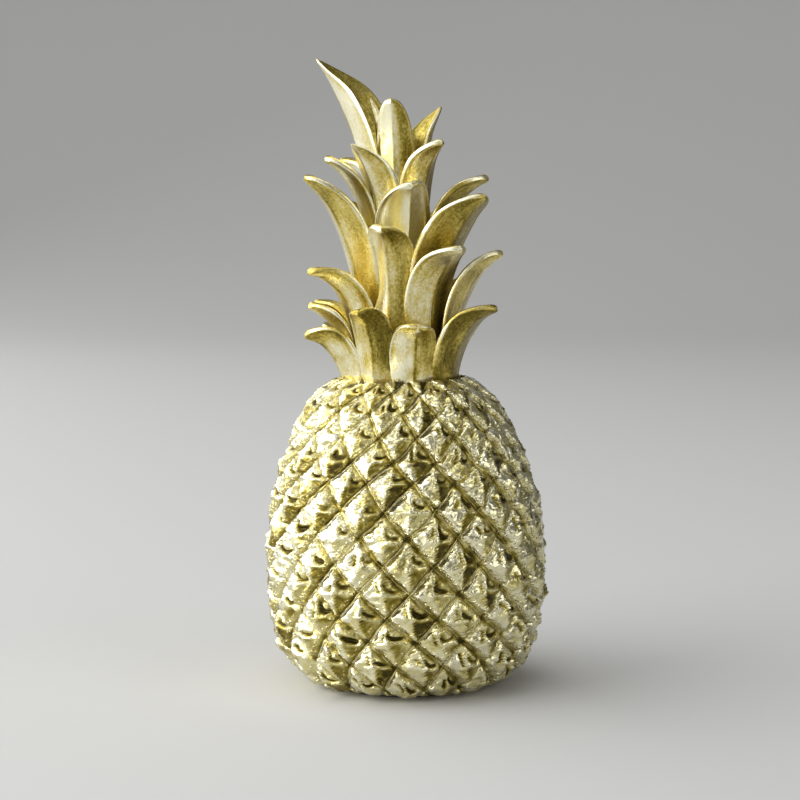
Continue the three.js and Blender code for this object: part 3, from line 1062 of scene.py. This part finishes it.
@dataclass(frozen=True)
class LeafSkin:
    """Relief and tone of a leaf's skin.

    Places across run from -1 to 1 between the rims, and places along from 0 at the foot to 1 at the
    tip. Repeats say how fast a noise changes across and along the leaf, and the spreads keep one
    leaf's noise apart from the next one's. Reliefs are in mm.
    """

    foot_spread: float = 50.0
    length_spread: float = 90.0
    body_foot: Span = (0.2, 0.55)
    body_tip: Span = (1.0, 0.92)
    wave_level: float = 0.5
    wave_sway: float = 1.1
    wave_repeats: Span = (1.0, 2.1)
    wave_shift: float = 7.0
    bead_edge: Span = (0.93, 0.985)
    bead_relief: float = 0.08
    rim_painted_highlight: Span = (0.15, 0.48)
    bead_patch: Span = (-0.25, 0.25)
    trough_place: float = 0.86
    trough_reach: float = 0.09
    trough_relief: float = 0.26
    trough_painted_shade: float = 0.3
    swell_repeats: Span = (1.4, 3.2)
    swell_foot: Span = (0.02, 0.2)
    swell_relief: float = 0.4
    swell_tone: float = 0.3
    patch_repeats: Span = (2.4, 5.5)
    patch_shift: float = 31.0
    patch_tone: float = 0.2
    plain_tone: float = 0.54
    base_foot: Span = (0.22, 0.0)
    base_foot_painted_light: float = 0.1
    upper_foot: Span = (0.38, 0.1)
    upper_foot_painted_shade: float = -0.22
    crease_place: float = 0.04
    crease_reach: float = 0.07
    crease_tip: Span = (0.95, 0.7)
    crease_painted_shade: float = 0.3
    stain_along: Span = (0.35, 0.75)
    stain_across: Span = (1.0, 0.7)
    stain_level: float = 0.08
    stain_sway: float = 0.28
    # Painted light on skin facing -X and painted shade on skin facing +X.
    side_light: float = 0.34
    # Painted shade on the right halves of folded leaves that face the front.
    fold_shade: float = 0.34
    full_fold: Span = (0.0, 0.5)
    facing_front: Span = (60, 35)
    fold_across: Span = (0.05, 0.5)
    fold_along: Span = (0.0, 0.3)
    back_painted_shade: float = 0.02
    darkest: float = 0.17

    def at(self, leaf: Leaf, across: float, t: float, front: bool, skin_way: Vector
           ) -> tuple[float, float]:
        """Relief and tone at a place on a leaf.

        Args:
            leaf: the leaf.
            across: place across it.
            t: place along it.
            front: whether the place is on the front face.
            skin_way: the way that the skin faces there.

        Returns:
            The relief in mm, and the tone.
        """
        own = Vector((leaf.around, leaf.foot_share * self.foot_spread,
                      leaf.length_share * self.length_spread))

        def sway(repeats: Span, shift: float) -> float:
            """The leaf's own noise."""
            return noise.noise(own + Vector((across * repeats[0], t * repeats[1], shift)))

        far = abs(across)
        body = smooth(*self.body_foot, t) * smooth(*self.body_tip, t)
        wave = max(0.0, self.wave_level + self.wave_sway * sway(self.wave_repeats, self.wave_shift))
        trough = bell(far, self.trough_place, self.trough_reach) * wave
        bead = smooth(*self.bead_edge, far) * wave
        swell = sway(self.swell_repeats, 0)
        patch = sway(self.patch_repeats, self.patch_shift)
        relief = (body * (self.bead_relief * bead - self.trough_relief * trough)
                  + self.swell_relief * smooth(*self.swell_foot, t) * swell)

        # Painted highlight along the rims, broken by noise.
        rim_highlight = mix(*self.rim_painted_highlight, smooth(*self.bead_patch, patch))
        stain = (smooth(*self.stain_along, t) * smooth(*self.stain_across, far)
                 * (self.stain_level + self.stain_sway * max(0.0, patch)))
        # Painted shade in the trough inside each rim.
        tone = (self.plain_tone + leaf.shade + rim_highlight * bead * body - self.trough_painted_shade * trough * body
                + self.swell_tone * swell + self.patch_tone * patch - stain)
        # Painted light on the feet of the base leaves, and painted shade at the feet of the upper
        # leaves, between the leaves below.
        if leaf.foot_share == 0:
            tone += self.base_foot_painted_light * smooth(*self.base_foot, t)
        else:
            tone += self.upper_foot_painted_shade * smooth(*self.upper_foot, t)
        if front:
            # Painted shade in the middle crease.
            crease = bell(across, self.crease_place, self.crease_reach) * smooth(*self.crease_tip, t)
            # Painted shade on the right half of folded leaves that face the front.
            folded = smooth(*self.full_fold, leaf.fold) * smooth(*self.facing_front, abs(leaf.around))
            right_half = smooth(*self.fold_across, across) * smooth(*self.fold_along, t)
            # Painted light on skin facing -X and painted shade on skin facing +X.
            tone -= (self.crease_painted_shade * crease + self.side_light * skin_way.x
                     + self.fold_shade * folded * right_half)
        else:
            # Painted shade on the back face, away from the rims.
            tone -= self.back_painted_shade * (1 - bead)
        return relief, max(self.darkest, tone)


@dataclass
class Crown:
    """The crown: leaves bonded to a tapering stem.

    The stem's shares are of the crown's height: places up the stem and the radii there.
    """

    height: float = 83.0
    level: float = 78.6
    shift: float = -1.5
    thickness: float = 2.1
    rim_thickness: float = 1.2
    seat_depth: float = 0.8
    foot_sink: float = 1.2
    base_foot_share: float = 0.86
    upper_foot_share: float = 0.8
    tip_share: float = 0.06
    belly_share: float = 0.47
    taper_power: float = 2.2
    tip_round: float = 0.035
    least_close: float = 0.02
    least_half: float = 0.01
    front_edge: float = 0.28
    back_edge: float = 0.9
    widest_edge: float = 0.9
    tip_thin: float = 0.55
    thin_along: Span = (0.6, 1.0)
    flat_tip: float = 0.5
    flat_along: Span = (0.7, 1.0)
    fold_round: float = 0.15
    middle_ease: float = 0.05
    full_relief_half: float = 3.0
    ring_faces: int = 88
    rows: int = 72
    row_parts: int = 6
    stem_shares: tuple[Span, ...] = (
        (0, 0.168), (0.12, 0.136), (0.27, 0.106), (0.45, 0.08), (0.62, 0.055), (0.68, 0.04))
    skin: LeafSkin = LeafSkin()
    def stem_radius(self, share: float) -> float:
        """Radius of the bare stem.

        Args:
            share: place up the stem, as a share of the crown's height.

        Returns:
            The radius in mm.
        """
        stops = self.stem_shares
        for (low, low_radius), (high, high_radius) in zip(stops, stops[1:]):
            if share <= high:
                return mix(low_radius, high_radius, (share - low) / (high - low)) * self.height
        return stops[-1][1] * self.height

    def middle_line(self, leaf: Leaf) -> list[tuple[float, float, float, float]]:
        """The line that the leaf's middle follows from its foot to its tip.

        Args:
            leaf: the leaf.

        Returns:
            For each row, the share along the leaf, the distance from the axis and the height in mm,
            and the lean in radians.
        """
        length = leaf.length_share * self.height
        out = self.stem_radius(leaf.foot_share) + self.thickness / 2 - self.seat_depth
        up = self.level + leaf.foot_share * self.height

        def lean_at(share: float) -> float:
            """Lean of the middle line at a share of its length."""
            return math.radians(mix(leaf.lean_foot, leaf.lean_tip, share**leaf.curl))

        t = 0.0
        line = [(t, out, up, lean_at(t))]
        for row in range(1, self.rows + 1):
            step = (math.sin(row / self.rows * math.pi / 2) - t) / self.row_parts
            for _ in range(self.row_parts):
                lean = lean_at(t + step / 2)
                out += math.sin(lean) * step * length
                up += math.cos(lean) * step * length
                t += step
            line.append((t, out, up, lean_at(t)))
        return line

    def half_width(self, leaf: Leaf, t: float) -> float:
        """Half of the leaf's width, before its tip is rounded.

        Args:
            leaf: the leaf.
            t: share of its length.

        Returns:
            The half width in mm.
        """
        foot = self.base_foot_share if leaf.foot_share == 0 else self.upper_foot_share
        swell = math.sin(min(t / self.belly_share, 1) * math.pi / 2)
        past = max(0.0, (t - self.belly_share) / (1 - self.belly_share))
        taper = max(0.0, 1 - past**self.taper_power) ** leaf.tip.value
        return leaf.width_share * self.height / 2 * mix(foot, 1, swell) * max(self.tip_share, taper)

    def section(self, w: float, half: float) -> Span:
        """A place on the leaf's section, crisp at its front edges and eased at the back.

        Args:
            w: share of the way round the section, from the left rim over the front face.
            half: half of the leaf's width in mm.

        Returns:
            Place across, from -1 to 1, and which side of the middle, from -1 at the back to 1 in
            front.
        """
        turn = 2 * math.pi * w
        across = -math.cos(turn)
        ease = self.front_edge if math.sin(turn) > 0 else self.back_edge
        rim = min(self.widest_edge, ease / max(half, self.least_half))
        edge = max(0.0, (abs(across) - 1 + rim) / rim)
        side = math.sqrt(max(0.0, 1 - edge**2))
        return across, math.copysign(side, math.sin(turn))

    def leaf_form(self, leaf: Leaf) -> Callable[[float, float], tuple[Vector, float]]:
        """The form of a leaf: a closed shell with thick rounded rims, folded along its middle.

        Args:
            leaf: the leaf's place and shape.

        Returns:
            A function that gives the point in mm and the tone, from the share of the way round the
            section and the share of the way from the foot to the tip.
        """
        turn = math.radians(leaf.around)
        outward = Vector((math.sin(turn), -math.cos(turn), 0))
        sideways = Vector((math.cos(turn), math.sin(turn), 0))
        upward = Vector((0, 0, 1))
        line = self.middle_line(leaf)

        def form(u: float, v: float) -> tuple[Vector, float]:
            """A place on the leaf's shell.

            Args:
                u: share of the way round the section.
                v: share of the way from the foot to the tip.

            Returns:
                The point in mm, and the tone.
            """
            t, out, up, lean = line[round(v * self.rows)]
            along = outward * math.sin(lean) + upward * math.cos(lean)
            face = outward * math.cos(lean) - upward * math.sin(lean)
            twist = math.radians(leaf.twist) * t
            side = sideways * math.cos(twist) + face * math.sin(twist)
            face = face * math.cos(twist) - sideways * math.sin(twist)
            centre = outward * out + upward * up - along * self.foot_sink * (t == 0)

            past_round = max(0.0, (t - 1 + self.tip_round) / self.tip_round)
            close = math.sqrt(max(0.0, 1 - past_round**2))
            half = self.half_width(leaf, t) * close
            across, depth = self.section(u, half)
            far = abs(across)
            thick = mix(self.thickness, self.rim_thickness, far**2) * max(close, self.least_close)
            if leaf.tip is Tip.SHARP:
                thick *= 1 - self.tip_thin * smooth(*self.thin_along, t)
            fold = leaf.fold * (1 - self.flat_tip * smooth(*self.flat_along, t))
            sag = fold * half * mix(far, far**2, self.fold_round)

            front = depth > 0
            skin_way = face * (1 if front else -1) + side * fold * across / (far + self.middle_ease)
            relief, tone = self.skin.at(leaf, across, t, front, skin_way.normalized())
            relief *= max(0.0, depth) * min(1, half / self.full_relief_half)
            place = centre + side * across * half + face * (depth * thick / 2 - sag + relief)
            return place + Vector((self.shift, 0, 0)), tone

        return form

    def leaf_piece(self, leaf: Leaf, finish: bpy.types.Material) -> bpy.types.Object:
        """One leaf, closed at its foot and at its tip.

        Args:
            leaf: the leaf's place and shape.
            finish: the lacquer.

        Returns:
            The leaf's object.
        """
        bm = formed_sheet(self.ring_faces, self.rows, self.leaf_form(leaf))
        bmesh.ops.holes_fill(bm, edges=open_edges(bm), sides=0)
        name = leaf.name.replace("leaf_", "gilt_leaf_")
        return finished_piece(bm, name, finish, [leaf.name])

    def build(self, finish: bpy.types.Material) -> list[bpy.types.Object]:
        """The leaves, and the lacquer on the stem between them.

        Args:
            finish: the lacquer.

        Returns:
            The leaves' objects.
        """
        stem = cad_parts["crown_stem"]
        stem.data.materials.clear()
        stem.data.materials.append(finish)
        return [self.leaf_piece(leaf, finish) for leaf in LEAVES]


# Foot


@dataclass
class Foot:
    """The felt pad under the fruit."""

    radius: float = 20.5
    thickness: float = 1.0
    edge_round: float = 0.25
    edge_steps: int = 3
    sides: int = 96

    def build(self, finish: bpy.types.Material) -> bpy.types.Object:
        """The pad, with its cut edge rounded over.

        Args:
            finish: the felt.

        Returns:
            The pad's object.
        """
        bm = bmesh.new()
        bmesh.ops.create_circle(bm, cap_ends=True, segments=self.sides, radius=self.radius)
        top = bmesh.ops.extrude_face_region(bm, geom=list(bm.faces))["geom"]
        bmesh.ops.translate(bm, verts=only_verts(top), vec=(0, 0, self.thickness))
        rims = [edge for edge in bm.edges
                if abs(edge.verts[0].co.z - edge.verts[1].co.z) < self.edge_round]
        bmesh.ops.bevel(bm, geom=rims, offset=self.edge_round, offset_type="OFFSET", affect="EDGES",
                        segments=self.edge_steps, profile=0.5, material=-1)
        return finished_piece(bm, "felt_disc", finish, ["felt_pad"])


# Studio


@dataclass(frozen=True)
class Softbox:
    """A soft lamp aimed at the figurine. Place and size are in metres."""

    name: str
    place: tuple[float, float, float]
    size: Span
    watts: float


@dataclass
class Studio:
    """Camera, floor, room and soft lamps. Lengths are in metres, the lens and sensor in mm.

    The room's stops are its brightness by the way looked, from 0 away from its axis to 1 along it.
    """

    camera_place: tuple[float, float, float] = (-0.00166, -0.5876, 0.1414)
    camera_dip: float = 6.61
    lens: float = 103.3
    sensor: float = 36.0
    floor_colour: Colour = (0.58, 0.58, 0.57)
    floor_roughness: float = 0.9
    floor_gloss: float = 0.15
    sweep_width: float = 3.4
    sweep_front: float = -1.6
    sweep_back: float = 2.1
    sweep_bend: float = 1.1
    sweep_height: float = 2.4
    bend_steps: int = 24
    room_axis: tuple[float, float, float] = (-0.78, -0.12, 0.61)
    room_stops: tuple[Span, ...] = ((0.0, 0.13), (0.42, 0.12), (0.62, 0.25), (0.82, 0.62), (1.0, 0.75))
    target: tuple[float, float, float] = (0.0, 0.0, 0.08)
    lamps: tuple[Softbox, ...] = (
        Softbox("key lamp", (-0.85, -0.22, 0.37), (1.1, 0.72), 9.0),
        Softbox("front lamp", (-0.52, -1.1, 0.4), (1.0, 1.0), 1.9),
        Softbox("back lamp", (-0.78, 0.68, 0.45), (0.9, 0.9), 4.5),
        Softbox("top lamp", (-0.1, -0.1, 1.2), (0.8, 0.8), 2.4),
        Softbox("side lamp", (0.85, -0.55, 0.42), (0.7, 0.7), 2.2),
    )

    def build(self) -> None:
        """Sets up the camera, the floor, the room and the lamps."""
        scene = bpy.context.scene
        scene.view_settings.view_transform = "Standard"
        self.add_camera(scene)
        self.add_floor()
        self.add_room(scene)
        for lamp in self.lamps:
            self.add_lamp(scene, lamp)

    def add_lamp(self, scene: bpy.types.Scene, lamp: Softbox) -> None:
        """Hangs a lamp and aims it at the figurine.

        Args:
            scene: the scene.
            lamp: the lamp's place, size and power.
        """
        light = bpy.data.lights.new(lamp.name, "AREA")
        light.shape, light.energy = "RECTANGLE", lamp.watts
        light.size, light.size_y = lamp.size
        stand = bpy.data.objects.new(lamp.name, light)
        stand.location = lamp.place
        aim = Vector(self.target) - Vector(lamp.place)
        stand.rotation_euler = aim.to_track_quat("-Z", "Y").to_euler()
        scene.collection.objects.link(stand)

    def add_room(self, scene: bpy.types.Scene) -> None:
        """Surrounds the figurine with a soft room, bright at the upper left and dim elsewhere.

        Args:
            scene: the scene.
        """
        world = bpy.data.worlds.new("studio")
        scene.world = world
        world.use_nodes = True
        sheet = NodeSheet(world.node_tree)
        way = sheet.add("TexCoord").outputs["Generated"]
        toward = sheet.add("VectorMath", {0: way, 1: Vector(self.room_axis).normalized()},
                           operation="DOT_PRODUCT").outputs["Value"]
        stops = [(place, (level, level, level)) for place, level in self.room_stops]
        colour = sheet.ramp(sheet.remap(toward, (-1.0, 1.0), (0.0, 1.0)), stops, ease=True)
        sheet.put(sheet.tree.nodes["Background"].inputs["Color"], colour)

    def add_camera(self, scene: bpy.types.Scene) -> None:
        """Puts the camera where the photograph was taken from.

        Args:
            scene: the scene.
        """
        data = bpy.data.cameras.new("camera")
        data.lens, data.sensor_width = self.lens, self.sensor
        camera = bpy.data.objects.new("camera", data)
        camera.location = self.camera_place
        camera.rotation_euler = Euler((math.radians(90 - self.camera_dip), 0, 0))
        scene.collection.objects.link(camera)
        scene.camera = camera

    def add_floor(self) -> None:
        """Lays a plain pale sheet that bends up behind the figurine."""
        bm = bmesh.new()
        bend_start = self.sweep_back - self.sweep_bend
        start = bm.verts.new((-self.sweep_width / 2, self.sweep_front, 0))
        corner = bm.verts.new((-self.sweep_width / 2, bend_start, 0))
        bm.edges.new((start, corner))
        bmesh.ops.spin(bm, geom=[corner], cent=(0, bend_start, self.sweep_bend), axis=(1, 0, 0),
                       angle=math.pi / 2, steps=self.bend_steps)
        last = max(bm.verts, key=lambda vert: vert.co.z)
        wall = bmesh.ops.extrude_vert_indiv(bm, verts=[last])["verts"]
        bmesh.ops.translate(bm, verts=wall, vec=(0, 0, self.sweep_height - self.sweep_bend))
        across = bmesh.ops.extrude_edge_only(bm, edges=list(bm.edges))["geom"]
        bmesh.ops.translate(bm, verts=only_verts(across), vec=(self.sweep_width, 0, 0))
        sheet = FinishSheet("pale floor")
        sheet.dress({"Base Color": (*self.floor_colour, 1), "Roughness": self.floor_roughness,
                     "Specular IOR Level": self.floor_gloss})
        smooth_object(bm, "floor", sheet.material)


def main() -> None:
    """Builds the studio and each piece of the figurine."""
    logging.basicConfig(level=logging.INFO, format="%(message)s")
    noise.seed_set(NOISE_SEED)  # without it noise_vector takes its offsets from the clock
    Studio().build()
    Fruit().build(FRUIT_GOLD.material())
    Crown().build(LEAF_GOLD.material())
    Foot().build(Felt().material())


if __name__ == "__main__":
    main()
